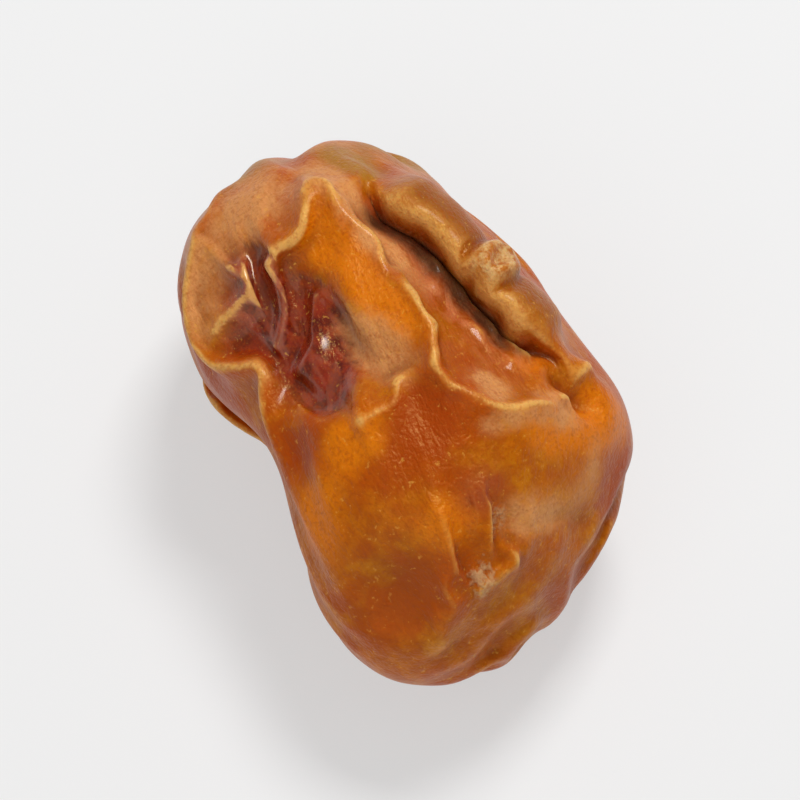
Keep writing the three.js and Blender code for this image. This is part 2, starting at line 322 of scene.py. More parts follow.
# Folds of the skin, lines through stations and angles: half width, height (- is a crease), lean.
FOLDS = [
    # left lip, and the fold that runs in from it to the pit
    ([(-15.5, -38), (-14, -48), (-11.4, -57), (-9, -62), (-6.8, -66), (-4.6, -64), (-3.2, -59),
      (-1.2, -54), (0.3, -55), (2, -57), (5, -60)], 0.9, 0.75, 0),
    ([(-9.9, -50), (-7.6, -47), (-6.4, -54), (-5.4, -63)], 0.7, 0.5, 0),
    # fork above the pit
    ([(-12.5, -10), (-11, -13), (-9.6, -14), (-8.2, -19), (-8, -28), (-7.2, -35), (-5, -36)],
     0.8, 0.75, 0.2),
    # long middle ridge that hooks round the furrow's end, and a short one off its foot
    ([(-13, -12), (-11.6, -9), (-8.3, -4), (-5.5, 1), (-3.3, 2), (-0.8, 3), (2.4, 5), (4.7, 4),
      (6.5, 7), (8.5, 15), (9.3, 28), (8.5, 40), (7.2, 46)], 1.3, 1.0, 0.15),
    ([(5.5, -31), (5.4, -20), (4.9, -12), (3, -8)], 0.9, 0.5, 0),
    # two folds across the floor of the pit
    ([(-5, -20), (-3.4, -25), (-1.8, -32), (-0.4, -39), (0.4, -45)], 1.1, 0.4, 0),
    ([(-9, -42), (-6.8, -35), (-5, -36), (-3.2, -42), (-2.5, -48)], 1.2, 0.4, 0),
    # fine folds along the floor of the furrow
    ([(-5, 18), (-2, 24), (1, 30), (3.6, 36), (5.2, 41)], 0.4, 0.65, 0),
    ([(-3, 15), (-1, 19), (1.5, 24), (4, 30), (5.8, 34)], 0.45, 0.5, 0),
    # towards the tip
    ([(11.7, -12), (15.2, -21), (17.0, -33), (17.3, -55), (17.6, -86)], 1.1, 0.35, 0),
    ([(4.5, 63), (7.2, 50), (8.9, 42)], 0.8, 0.6, 0),
    ([(17.1, -16), (17.1, 2), (16.7, 21)], 0.8, 0.3, 0),
    ([(14.8, 1), (15.9, 33), (15.1, 81)], 0.9, -0.2, 0),
    # back: a ridge and the crease above it
    ([(-15, 122), (-10, 130), (-5, 134), (1, 130), (8, 118), (14, 116)], 0.9, 0.7, -0.3),
    ([(-9, 98), (-4, 103), (2, 101), (7, 108), (11, 118)], 0.9, -0.5, 0),
    # lower left: a ridge and the crease below it
    ([(-15, -112), (-9, -116), (-3, -114), (3, -118), (9, -126), (15, -130)], 0.9, 0.7, 0.3),
    ([(-12, -126), (-7, -131), (0, -133), (5, -140)], 0.9, -0.5, 0),
]
FOLD_ENDS, FOLD_UNEVENNESS, FOLD_ROUNDING, LEAN_REACH = 0.18, 0.35, 0.3, 1.2

# The pit's rim, the crease of the furrow and the knob on its lip, in stations and angles.
PIT_RIM = [(-9.9, -46), (-9.2, -35), (-6.9, -27), (-5, -20), (-2.5, -15), (0.8, -17), (3.6, -26),
           (3.6, -38), (0.6, -48), (-2, -50), (-4.6, -57), (-6.4, -50), (-8, -50)]
FURROW = [(-11, 9), (-9.2, 14), (-7.3, 19), (-5.6, 23), (-2.8, 28), (-0.5, 33), (1.3, 37),
          (3.5, 42), (5.6, 49)]
KNOB = (-2.2, 41)
PIT_DEPTH, PIT_EDGE = 0.4, 1.4
# Reaches to the two sides of the furrow: first the one away from the lip.
FURROW_ENDS, FURROW_DEPTH, FURROW_REACHES = 0.22, 1.0, (3.4, 0.8)
CREASE_DEPTH, CREASE_REACH = 0.8, 0.55
LIP_HEIGHT, LIP_SET_BACK, LIP_REACHES, LIP_OVERHANG = 1.3, 2.0, (1.35, 2.2), 0.9
KNOB_REACHES, KNOB_HEIGHT, KNOB_ROUGHNESS = (1.3, 1.1), 0.5, 0.16
TIP_SLANT, SLANT_ANGLE, SLANT_STATIONS = 0.24, 55, (3, 20)
# The stem end is what lies behind this station.
STEM_END, DIMPLE_DEPTH, DIMPLE_REACH = -8, 0.9, 4.0
PLEATS, PLEAT_HEIGHT, PLEAT_RADIUS, PLEAT_REACH = 7, 0.15, 6.2, 2.6
SEAT_RADIUS, SEAT_FLOOR = 3.0, -16.6

# Places of different colour: station, angle, reach along and around, turn, share.
TINTS = {
    "lifted": [  # skin off the flesh, pale and dull
        (-12.0, -32, 3.6, 4.0, 0, 1.1), (-12.2, -2, 2.4, 1.3, 10, 1.0), (-9.2, 2, 3.0, 1.0, 22, 1.0),
        (-5.0, 5, 4.0, 1.4, 25, 1.2), (1.0, -12, 3.8, 2.0, 25, 1.2), (6.4, 20, 1.7, 1.6, 0, 1.3),
        (9.0, 42, 2.2, 1.8, 30, 1.2), (9.6, 20, 1.3, 2.6, 0, 0.8), (-9.0, -62, 4.0, 2.0, 0, 0.9),
        (15.4, 32, 2.0, 3.8, 0, 0.9), (12.5, 62, 2.6, 1.6, 0, 0.7), (-3.0, 52, 3.5, 1.2, 25, 0.4),
        (-11.0, 110, 5.0, 4.0, 0, 0.9), (6.0, 150, 5.0, 4.0, 0, 0.7), (3.0, 100, 4.0, 2.5, 20, 0.7),
        (-4.0, -150, 6.0, 3.5, 0, 0.7), (9.0, -100, 4.0, 3.5, 0, 0.7), (-9.0, -115, 4.0, 3.0, 0, 0.6)],
    "rosy": [  # thin skin over dark flesh, red-brown
        (-1.5, 25, 4.0, 1.2, 27, 0.7), (14.6, -50, 2.2, 2.2, 0, 0.3),
        (7.6, 52, 1.4, 1.0, 40, 0.5), (13.5, 5, 2.2, 2.6, 0, 0.7), (-6.8, -46, 1.4, 2.0, 0, 0.3),
        (-8.0, 150, 4.0, 3.0, 0, 0.8), (12.0, 130, 3.0, 3.5, 0, 0.7), (2.0, -140, 4.0, 3.0, 0, 0.8),
        (-14.0, -120, 3.0, 3.0, 0, 0.6)],
    "olive": [  # greener gold towards the stem
        (-15.8, -46, 3.0, 4.0, 0, 1.0), (-12.6, 12, 3.0, 1.8, 15, 0.9), (-15.0, 60, 4.0, 6.0, 0, 0.8),
        (-14.0, 150, 4.0, 6.0, 0, 0.8), (-14.0, -110, 4.0, 5.0, 0, 0.8)],
    "scab": [(17.0, -8, 2.2, 1.6, 0, 1.0), (15.0, 10, 1.6, 1.8, 0, 0.8)],  # flaking skin
    "deep": [  # clear dark orange
        # the dark orange on the left side below the lip, at station -5 and angle -80, is partly painted
        # shade
        (7.4, -6, 3.2, 3.0, 0, 1.0), (4.4, -50, 3.0, 2.4, 0, 0.9), (-5.0, -80, 4.5, 3.0, 0, 1.0),
        (10.0, -26, 2.5, 3.0, 0, 0.4), (12.0, 85, 4.0, 4.0, 0, 0.8), (-12.0, 90, 4.0, 3.0, 0, 0.7),
        (0.0, 160, 5.0, 4.0, 0, 0.8), (-10.0, -160, 5.0, 4.0, 0, 0.8), (6.0, -125, 5.0, 3.0, 0, 0.8)],
    "bright": [  # flesh close under the skin, golden orange
        (-6.2, -10, 3.4, 1.8, 15, 1.0), (-0.5, -3, 3.4, 1.0, 15, 1.0), (6.5, -30, 2.2, 3.0, 0, 0.8),
        (4.6, 38, 1.6, 1.6, 30, 0.9), (9.0, -60, 3.5, 3.5, 0, 0.7), (9.4, 62, 3.0, 3.6, 0, 1.0),
        (10.4, 38, 2.4, 3.0, 0, 0.7), (-2.0, 120, 5.0, 3.0, 0, 0.8), (10.0, 170, 4.0, 4.0, 0, 0.7),
        (14.0, -14, 2.6, 3.0, 0, 0.7), (-8.0, -135, 4.0, 3.0, 0, 0.7)],
}

# How loose the skin is evenly, and where it is looser (+) or tighter (-): station, angle, reach along
# and around, turn, and then the change for BROAD folds and for FINE ones.
EVEN_SLACK, SLACK_UNEVEN = 0.45, 0.8
BROAD, FINE = 5, 6
SLACKER = [
    (-2.5, -34, 5.5, 4.0, -8, -0.1, 0.3),  # pit
    (-1.0, 20, 7.0, 3.5, 27, 0.1, 0.8),  # floor of the furrow
    (17.9, -20, 9.0, 9.0, 0, -0.42, -0.2),  # end of the tip
    (13.0, 45, 5.0, 7.0, 0, -0.25, -0.1),  # slanted side of the tip
    (9.5, -10, 6.0, 8.0, 0, -0.2, -0.1),  # below the ridge
    (15.6, 6, 2.6, 3.6, 0, 0.4, 2.0),  # crumpled skin by the tip
    (-7.4, -50, 2.8, 2.6, 0, 0.4, 1.5),  # between the left lip and the pit
    (0.0, 120, 14.0, 10.0, 0, 1.0, 0.5),  # back
    (0.0, -125, 14.0, 9.0, 0, 0.9, 0.5),  # lower left flank
    (0.0, 180, 14.0, 8.0, 0, 0.5, 0.3),  # underside
]


def dried(flesh, outward):
    """The shape the flesh gives the skin, and marks of what is where on it."""
    height = sum(rise * patch(flesh, *place) for *place, rise in SWELLS)
    slide = np.zeros_like(flesh)
    marks = {}

    # folds: each stands up or sinks along its line, and some lean over to one side
    wandering = stirred(flesh, size=4.0, amount=0.5, seed=3)
    wandering = stirred(wandering, size=1.4, amount=0.22, seed=5)
    uneven = 1 + FOLD_UNEVENNESS * mottle(flesh, size=3.2, seed=7)
    for points, width, rise, lean in FOLDS:
        distance, share, side, across = nearest(wandering, outward, body_at(*smooth_line(points).T))
        fold = fade(share, FOLD_ENDS) * uneven * np.exp(-np.hypot(distance, FOLD_ROUNDING) / width)
        height += rise * fold
        slide += (lean * fade(share, FOLD_ENDS) * uneven * bell(side, LEAN_REACH))[:, None] * across

    # pit: sunk skin inside a soft rim
    inward = inside_rim(stirred(flesh, size=2.2, amount=0.45, seed=13), outward, PIT_RIM)
    marks["pit"] = ramp(-PIT_EDGE, PIT_EDGE, inward)
    height -= PIT_DEPTH * marks["pit"]

    # furrow: a floor that slopes down to a crease, and a rolled lip that leans over it; side is the
    # distance from the crease, + towards the lip
    wandering = stirred(flesh, size=2.5, amount=0.3, seed=9)
    _, share, side, across = nearest(wandering, outward, body_at(*smooth_line(FURROW).T))
    present = fade(share, FURROW_ENDS)
    marks["floor"] = present * bell(side, np.where(side < 0, *FURROW_REACHES))
    # this mark sits on the floor beside the crease, where the lip overhangs it, and carries the painted
    # shade of the crease
    marks["crease"] = present * bell(side + 1.1, 1.2)
    marks["lip"] = present * bell(side - 2.2, 1.3)
    roll = present * bell(side - LIP_SET_BACK, np.where(side < LIP_SET_BACK, *LIP_REACHES))
    height += LIP_HEIGHT * roll - FURROW_DEPTH * marks["floor"]
    height -= CREASE_DEPTH * present * bell(side, CREASE_REACH)
    slide -= (present * LIP_OVERHANG * bell(side - 1.3, 1.0))[:, None] * across

    # knob: a small crumbly scab on the rolled lip, sunk in its middle and round its foot; its patch
    # is 1 in its middle and dies away outwards
    knob = patch(stirred(flesh, size=1.1, amount=0.3, seed=61), *KNOB, *KNOB_REACHES)
    marks["knob"] = ramp(0.2, 0.6, knob)
    height += KNOB_HEIGHT * ramp(0.1, 0.7, knob)
    height -= 0.2 * ramp(0.75, 1.0, knob) + 0.2 * bell(knob - 0.12, 0.1)
    height += KNOB_ROUGHNESS * marks["knob"] * mottle(flesh, size=0.7, seed=63, octaves=2)

    # stem end: a dimple with pleats drawn in round it
    stem_radius = np.hypot(flesh[:, 1], flesh[:, 2])
    stem_angle = np.arctan2(flesh[:, 1], flesh[:, 2])
    at_stem = flesh[:, 0] < STEM_END
    pleats = np.sin(PLEATS * stem_angle + 2 * mottle(flesh, size=5.0, seed=81))
    pleats *= bell(stem_radius - PLEAT_RADIUS, PLEAT_REACH)
    height += at_stem * (PLEAT_HEIGHT * pleats - DIMPLE_DEPTH * bell(stem_radius, DIMPLE_REACH))
    shape = flesh + outward * height[:, None] + slide

    # tip: cut back on one side and drawn out on the other
    towards = np.radians(SLANT_ANGLE)
    aside = shape[:, 1] * np.sin(towards) + shape[:, 2] * np.cos(towards)
    shape[:, 0] -= TIP_SLANT * aside * ramp(*SLANT_STATIONS, flesh[:, 0])
    return shape, marks


def slackness(flesh, folds):
    """How loose the skin is at each point, for BROAD folds or for FINE ones."""
    return EVEN_SLACK + sum(place[folds] * patch(flesh, *place[:5]) for place in SLACKER)


# broad folds, settled on a coarse mesh
coarse_directions, coarse_quads, _, coarse_same = six_faced_ball(COARSE_DIVISIONS)
flesh = body_points(coarse_directions)
outward = body_normals(flesh)
shape, _ = dried(flesh, outward)
loose = slackness(flesh, BROAD) * (1 + SLACK_UNEVEN * mottle(flesh, size=7.0, seed=15))
loose = np.clip(loose, 0.05, 1.6)
around = neighbours(coarse_quads, len(flesh))
buckled = settled(shape, outward, around, loose, excess_long=0.05, excess_round=0.17, bend=1.5,
                  hold=0.008, steps=200, nudge=0.08 * mottle(flesh, size=2.5, seed=5, octaves=2))
gained = buckled - shape

# fine folds between them, settled on a mesh twice as fine
directions, skin_quads, fine_first, _ = six_faced_ball(2 * COARSE_DIVISIONS)
gained = refined(gained, coarse_same, fine_first)
flesh = body_points(directions)
outward = body_normals(flesh)
shape, marks = dried(flesh, outward)
shape += gained
around = neighbours(skin_quads, len(flesh))
loose = slackness(flesh, FINE) * (1 + SLACK_UNEVEN * mottle(flesh, size=4.0, seed=25))
loose = np.clip(loose, 0.03, 1.8)
skin = settled(shape, outward, around, loose, excess_long=0.05, excess_round=0.13, bend=1.6,
               hold=0.05, steps=60, nudge=0.03 * mottle(flesh, size=1.0, seed=35, octaves=2))

# the seat of the calyx, a flat recess in the stem end
at_stem = flesh[:, 0] < STEM_END
off_axis = np.hypot(skin[:, 1], skin[:, 2])
in_seat = at_stem & (skin[:, 0] < SEAT_FLOOR)
pressed = in_seat * ramp(SEAT_RADIUS + 0.35, SEAT_RADIUS - 0.05, off_axis)
skin[:, 0] += pressed * (SEAT_FLOOR - skin[:, 0])
marks["seat"] = at_stem * ramp(SEAT_RADIUS + 0.9, SEAT_RADIUS, off_axis)


def mesh_object(name, points, faces, marks=None):
    """A smooth piece of points in millimetres, with marks on them for its material to read."""
    mesh = bpy.data.meshes.new(name)
    mesh.from_pydata((points * MM).tolist(), [], faces)
    for mark, values in (marks or {}).items():
        mesh.attributes.new(mark, "FLOAT", "POINT").data.foreach_set("value", values.astype(np.float32))
    mesh.shade_smooth()
    thing = bpy.data.objects.new(name, mesh)
    bpy.context.scene.collection.objects.link(thing)
    return thing


def proud(points, outward, around, rounds):
    """How far each point stands out from the skin round it, more rounds taking in more of the skin."""
    evened = points
    for _ in range(rounds):
        evened = evened[around].mean(1)
    return np.einsum("ij,ij->i", points - evened, outward)


# which way the skin faces now that it has buckled, from a mesh that is then removed
bare = mesh_object("bare_skin", skin, skin_quads.tolist())
facing = np.empty(skin.size, np.float32)
bare.data.vertex_normals.foreach_get("vector", facing)
bpy.data.meshes.remove(bare.data)
facing = facing.reshape(-1, 3)

# Marks of how far the skin stands out: rounds of evening, and where the mark begins and is full.
STANDING_OUT = {"edge": (2, 0.025, 0.085), "crest": (10, 0.02, 0.26), "trough": (10, -0.02, -0.16),
                "high": (60, -0.5, 0.5)}
for mark, (rounds, begins, full) in STANDING_OUT.items():
    marks[mark] = ramp(begins, full, proud(skin, facing, around, rounds))
for tint, places in TINTS.items():
    marks[tint] = np.clip(sum(share * patch(flesh, *place) for *place, share in places), 0, 1)

fruit = mesh_object("fruit_skin", skin + AXIS_MIDDLE, skin_quads.tolist(), marks)


class Value:
    """A socket of a node that can be used in sums, each adding its Math node."""

    def __init__(self, nodes, socket):
        self.nodes, self.socket = nodes, socket

    def _math(self, operation, *numbers):
        return self.nodes.node("ShaderNodeMath", {"operation": operation}, *numbers)["Value"]

    def __add__(self, other):
        return self._math("ADD", self, other)

    def __sub__(self, other):
        return self._math("SUBTRACT", self, other)

    def __rsub__(self, other):
        return self._math("SUBTRACT", other, self)

    def __mul__(self, other):
        return self._math("MULTIPLY", self, other)

    __radd__, __rmul__ = __add__, __mul__

    def clamped(self):
        return self._math("MINIMUM", self._math("MAXIMUM", self, 0.0), 1.0)


class Nodes:
    """A tree of nodes, built up from empty."""

    def __init__(self, tree):
        self.tree = tree
        tree.nodes.clear()

    def node(self, kind, settings=None, *numbered, **named):
        """The outputs, by name, of a new node. Its settings are made first, and then its sockets are
        filled by place or by name."""
        node = self.tree.nodes.new(kind)
        for setting, value in (settings or {}).items():
            setattr(node, setting, value)
        sockets = [socket for socket in node.inputs if socket.enabled]
        by_name = {socket.name.replace(" ", "_"): socket for socket in sockets}
        filled = [*zip(sockets, numbered), *((by_name[name], value) for name, value in named.items())]
        for socket, value in filled:
            if isinstance(value, Value):
                self.tree.links.new(value.socket, socket)
            else:
                socket.default_value = value
        return {out.name: Value(self, out) for out in node.outputs if out.enabled}


class Finish(Nodes):
    """The shader of a material or of the world."""

    def __init__(self, holder):
        self.holder = holder
        holder.use_nodes = True
        super().__init__(holder.node_tree)

    def mark(self, name):
        return self.node("ShaderNodeAttribute", {"attribute_name": name})["Fac"]

    def place(self):
        return self.node("ShaderNodeTexCoord")["Object"]

    def noise(self, size, detail=2.0, distortion=0.0, narrow=1.0):
        """Blotches of about the given size in millimetres, 0 to 1, and so many times narrower across
        the fruit."""
        place = self.node("ShaderNodeVectorMath", {"operation": "MULTIPLY"}, self.place(),
                          (1.0, narrow, narrow))["Vector"]
        return self.node("ShaderNodeTexNoise", None, Vector=place, Scale=1 / (size * MM),
                         Detail=detail, Distortion=distortion)["Fac"]

    def between(self, low, high, value):
        """0 at the low value, 1 at the high one and smooth between them; low may be above high."""
        return self.node("ShaderNodeMapRange", {"interpolation_type": "SMOOTHSTEP"}, Value=value,
                         From_Min=low, From_Max=high)["Result"]

    def layered(self, colour, *layers):
        """A colour with others laid over it in turn, each by its share."""
        for share, over in layers:
            colour = self.node("ShaderNodeMix", {"data_type": "RGBA"}, Factor=share, A=colour,
                               B=over)["Result"]
        return colour


def paint(red, green, blue):
    """A colour as the eye sees it, 0 to 255, in the linear values that a shader takes."""
    shares = [c / 255 for c in (red, green, blue)]
    return (*[s / 12.92 if s <= 0.04045 else ((s + 0.055) / 1.055) ** 2.4 for s in shares], 1.0)


# Flesh seen through the skin, with a painted shade for the low places.
AMBER, ORANGE, HONEY = paint(208, 112, 0), paint(192, 82, 0), paint(216, 138, 12)
RUSSET, HOLLOW_SHADE, DEEP_ORANGE = paint(172, 70, 0), paint(148, 50, 0), paint(172, 62, 0)
GOLD_ORANGE, OLIVE_GOLD = paint(226, 120, 0), paint(172, 112, 14)
# The rolled lip's brown is partly its own colour and partly painted shade.
LIP_BROWN_AND_SHADE, ROSY_BROWN = paint(142, 74, 4), paint(164, 70, 34)
# Sunk skin: the pit and the floor of the furrow, each with a painted highlight for its sheen, and painted
# shade in the furrow's crease and in the bottoms of the folds.
DARK_RED, BRICK_RED, PIT_SHEEN = paint(96, 14, 8), paint(146, 36, 14), paint(170, 84, 62)
FLOOR_RED, FLOOR_ORANGE, FLOOR_SHEEN = paint(150, 46, 14), paint(200, 100, 56), paint(220, 134, 92)
CREASE_SHADE, TROUGH_SHADE = paint(52, 10, 6), paint(118, 34, 0)
# Skin off the flesh in patches and flakes, painted highlights along the crests and sharp edges, the knob,
# and the seat of the calyx, darker round it.
LIFTED_TAN, CREST_HIGHLIGHT, PIT_CREST_HIGHLIGHT = paint(224, 154, 92), paint(228, 158, 72), paint(190, 112, 84)
EDGE_HIGHLIGHT, FLAKE_CREAM = paint(238, 180, 98), paint(216, 172, 122)
KNOB_BROWN, KNOB_CREAM, SEAT_BROWN = paint(184, 98, 20), paint(224, 180, 116), paint(116, 62, 22)
# Sugary grains under the skin.
GRAIN_BROWN, GRAIN_CREAM = paint(170, 66, 0), paint(238, 172, 72)

skin_finish = Finish(bpy.data.materials.new("date_skin"))
between, layered = skin_finish.between, skin_finish.layered
broad, middling, small, grain = (
    skin_finish.noise(size, detail=3.0, distortion=0.3) for size in (8.0, 3.6, 1.2, 0.42))
fine_grain = skin_finish.noise(0.2, detail=3.0)
pit, floor_mark, crease, lip, knob, seat = (
    skin_finish.mark(name) for name in ("pit", "floor", "crease", "lip", "knob", "seat"))
edge, crest, trough, high = (skin_finish.mark(name) for name in STANDING_OUT)
lifted, rosy, olive, scab, deep, bright = (skin_finish.mark(name) for name in TINTS)

# flesh showing through: amber, more orange or more golden in blotches, with a redder painted shade in the
# hollows
ragged = 0.9 * middling + 0.7 * small + 0.2 * grain - 0.1
through_skin = layered(
    AMBER,
    (between(0.42, 0.6, broad), ORANGE),
    (between(0.46, 0.66, middling) * 0.6, HONEY),
    (between(0.38, 0.64, small) * 0.5, RUSSET),
    # painted shade where the skin lies low
    ((1 - high) * 0.5, HOLLOW_SHADE),
    (between(0.2, 0.6, deep * ragged), DEEP_ORANGE),
    (between(0.2, 0.6, bright * ragged), GOLD_ORANGE),
    (between(0.2, 0.7, olive * ragged), OLIVE_GOLD),
    # the rolled lip's brown, partly its own colour and partly painted shade that dulls it where the key
    # lamp falls full on it
    (lip * 0.85, LIP_BROWN_AND_SHADE),
    (between(0.15, 0.7, rosy * ragged), ROSY_BROWN))

# sunk skin: dark red-brown in the pit, clear red-orange on the floor of the furrow, each with streaks of
# painted highlight for a wet sheen
sheen = between(0.5, 0.62, skin_finish.noise(3.2, distortion=1.2, narrow=2.6))
pit_colour = layered(DARK_RED, (between(0.38, 0.62, small), BRICK_RED), (sheen * 0.5, PIT_SHEEN))
floor_colour = layered(FLOOR_RED, (between(0.4, 0.6, small), FLOOR_ORANGE), (sheen * 0.55, FLOOR_SHEEN))

# skin that has come away: pale and dull, in patches; and painted highlights along the crests and sharp
# edges, less so on the lip
tattered = 0.9 * middling + 1.1 * small + 0.7 * grain - 0.4
lifted_share = between(0.3, 0.95, lifted * tattered) * 0.85
crest_highlight_share = between(0.1, 0.8, crest * (0.1 + middling + 0.6 * small)) * (0.72 - 0.55 * lip)
edge_highlight_share = between(0.15, 0.6, edge * (0.1 + middling + 0.4 * small)) * (0.7 - 0.4 * lip)
crumbly = layered(KNOB_BROWN, (between(0.42, 0.58, 0.5 * small + 0.5 * grain), KNOB_CREAM))
flake = between(0.6, 0.84, scab * (0.1 + 0.5 * small + grain))

# all of it, with sugary grains under it, brown and cream, except in the painted shade of the crease
colour = layered(
    through_skin,
    ((pit * (0.6 + 0.9 * middling)).clamped(), pit_colour),
    (floor_mark, floor_colour),
    (lifted_share, LIFTED_TAN),
    # painted highlights on the crests, pinker in the pit, and on the sharp edges
    (crest_highlight_share, layered(CREST_HIGHLIGHT, (pit, PIT_CREST_HIGHLIGHT))),
    (edge_highlight_share, EDGE_HIGHLIGHT),
    # painted shade in the troughs between the folds
    ((trough * 0.6).clamped(), TROUGH_SHADE),
    # painted shade along the crease, under the lip's overhang
    (between(0.3, 1.0, crease * (0.6 + 0.8 * small)) * 0.95, CREASE_SHADE),
    ((knob * (0.4 + small)).clamped(), crumbly),
    ((seat * (0.5 + middling)).clamped(), SEAT_BROWN),
    (flake * 0.75, FLAKE_CREAM),
    (between(0.46, 0.68, 0.5 * grain + 0.5 * fine_grain) * (0.45 - 0.4 * crease), GRAIN_BROWN),
    (between(0.42, 0.3, 0.6 * grain + 0.4 * fine_grain) * (0.5 - 0.5 * crease), GRAIN_CREAM))

# relief: grains, streaks along the fruit and a net of fine cracks; sunk skin is the glossiest
streak = skin_finish.noise(1.3, detail=4.0, distortion=0.6, narrow=4.0)
crinkle = skin_finish.node("ShaderNodeTexVoronoi", {"feature": "DISTANCE_TO_EDGE"},
                           Vector=skin_finish.place(), Scale=1 / (0.8 * MM))["Distance"]
sunk = (pit + floor_mark).clamped()
relief = (0.6 * fine_grain + 0.9 * grain + 0.6 * small + streak * (1.3 - 0.8 * sunk) + 0.8 * flake
          - 0.2 * between(0.2, 0.0, crinkle))
bump = skin_finish.node("ShaderNodeBump", None, Strength=0.5, Distance=0.14 * MM, Height=relief)["Normal"]
shader = skin_finish.node(
    "ShaderNodeBsdfPrincipled", {"subsurface_method": "RANDOM_WALK"},
    Base_Color=colour,
    Roughness=(0.2 + 0.22 * middling + 0.12 * small + 0.12 * lifted_share + 0.3 * flake - 0.12 * sunk
               + 0.4 * crease),
    Coat_Weight=0.06 + 0.55 * sunk * (1 - 0.9 * crease), Coat_Roughness=0.15,
    Subsurface_Weight=0.2, Subsurface_Radius=(1.0, 0.35, 0.12), Subsurface_Scale=1.4 * MM,
    Specular_IOR_Level=0.4, Specular_Tint=(1.0, 0.7, 0.24, 1.0), Normal=bump)
skin_finish.node("ShaderNodeOutputMaterial", None, Surface=shader["BSDF"])
fruit.data.materials.append(skin_finish.holder)
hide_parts("fruit")
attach(fruit, "root")

# ---- calyx --------------------------------------------------------------------------------------
# The dry woody cup that held the fruit to its strand: a low disc with a thick, torn, faintly lobed
# rim, and a hollow where the strand broke off it. It sits loose in the seat at the stem end.

# Radius and rise from the underside over the rim and down into the hollow.
CALYX_OUTLINE = [(1.2, 0.0), (2.1, 0.02), (2.6, 0.14), (2.82, 0.4), (2.74, 0.9), (2.16, 1.16),
                 (1.62, 0.82), (1.08, 0.62), (0.54, 0.46), (0.18, 0.32)]
CALYX_SIDES = 240
CALYX_LOBES, LOBE_DEPTH, LOBE_TURN = 3, 0.05, 0.7
RIM_RADIUS, RIM_WIDTH = 2.25, 0.55
GRAIN_FINENESS, GRAIN_WANDER, GRAIN_DEPTH = 9, 0.35, 0.09
WALL_UNEVENNESS, WALL_GRAIN, TEAR_DEPTH = 0.03, 0.012, 0.16
calyx_low, calyx_high = (np.array(corner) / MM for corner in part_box("calyx"))
calyx_seat = np.array([calyx_high[0], *(calyx_low + calyx_high)[1:] / 2])


def ring_quads(rings, sides):
    """The quads between one ring of points and the next."""
    ring, side = np.indices((rings - 1, sides))
    here, there = ring * sides + side, ring * sides + (side + 1) % sides
    return np.stack([here, there, there + sides, here + sides], -1).reshape(-1, 4)


# rings of points along the outline, drawn in between the lobes
turn = np.linspace(0, 2 * math.pi, CALYX_SIDES, endpoint=False)
radius, rise = smooth_line(CALYX_OUTLINE, steps=3).T[..., None]
lobed = radius * (1 - LOBE_DEPTH * (1 - np.cos(CALYX_LOBES * turn + LOBE_TURN)) / 2)
rings = np.stack([-rise + 0 * turn, lobed * np.cos(turn), lobed * np.sin(turn)], -1).reshape(-1, 3)

# woody grain that spreads from the middle, and the open side left rough where it tore
open_side = (ramp(0.2, 0.6, rise) + 0 * turn).ravel()
out = np.hypot(*rings[:, 1:].T)
bearing = np.tile(turn, len(radius)) + GRAIN_WANDER * mottle(rings, size=1.2, seed=91, octaves=2)
grain_circle = GRAIN_FINENESS * np.stack([np.cos(bearing), np.sin(bearing)], 1)
grained = mottle(np.column_stack([grain_circle, 0.7 * out]), size=1.0, seed=95, octaves=3)
uneven = WALL_UNEVENNESS * mottle(2.2 * rings, size=1.0, seed=97, octaves=2)
rings[:, 1:] *= (1 - uneven - WALL_GRAIN * grained)[:, None]
torn = TEAR_DEPTH * mottle(rings, size=0.9, seed=93, octaves=3)
rings[:, 0] -= open_side * (GRAIN_DEPTH * grained * ramp(0.5, 1.6, out) + torn)

# closed with a fan of triangles to a point in the middle of the underside and of the hollow
poles = np.array([[0.0, 0.0, 0.0], [-CALYX_OUTLINE[-1][1], 0.0, 0.0]])
calyx_points = np.vstack([rings, poles]) + calyx_seat
walls = ring_quads(len(radius), CALYX_SIDES)
first = np.arange(CALYX_SIDES)
last = first + len(rings) - CALYX_SIDES
bottom = np.stack([np.roll(first, -1), first, np.full(CALYX_SIDES, len(rings))], -1)
top = np.stack([last, np.roll(last, -1), np.full(CALYX_SIDES, len(rings) + 1)], -1)
cup = {"rim": bell(out - RIM_RADIUS, RIM_WIDTH), "grained": grained, "open": open_side}
cup = {mark: np.append(values, [0, 0]) for mark, values in cup.items()}
calyx = mesh_object("calyx_cup", calyx_points, [*walls.tolist(), *bottom.tolist(), *top.tolist()], cup)

BARK_BROWN, BARK_TAN, RIM_TAN = paint(98, 62, 34), paint(150, 108, 66), paint(188, 146, 96)
GRAIN_SHADE, PORE_BROWN = paint(82, 50, 26), paint(58, 34, 20)
wood = Finish(bpy.data.materials.new("dry_calyx"))
rim, along_grain = wood.mark("rim"), wood.mark("grained")
flecks, pores = wood.noise(0.5, detail=3.0, distortion=1.0), wood.noise(0.16, detail=3.0)
bark = wood.layered(
    BARK_BROWN,
    (wood.between(0.36, 0.62, flecks), BARK_TAN),
    (wood.between(0.1, 0.7, rim * (0.2 + 0.9 * flecks + 0.5 * along_grain)), RIM_TAN),
    (wood.between(-0.05, -0.45, along_grain) * 0.6, GRAIN_SHADE),
    (wood.between(0.56, 0.68, pores) * 0.6, PORE_BROWN))
wood_bump = wood.node("ShaderNodeBump", None, Strength=0.6, Distance=0.1 * MM,
                      Height=flecks + 0.5 * pores)
wood_shader = wood.node("ShaderNodeBsdfPrincipled", None, Base_Color=bark,
                        Roughness=0.7 + 0.25 * pores, Normal=wood_bump["Normal"])
wood.node("ShaderNodeOutputMaterial", None, Surface=wood_shader["BSDF"])
calyx.data.materials.append(wood.holder)
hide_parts("calyx")
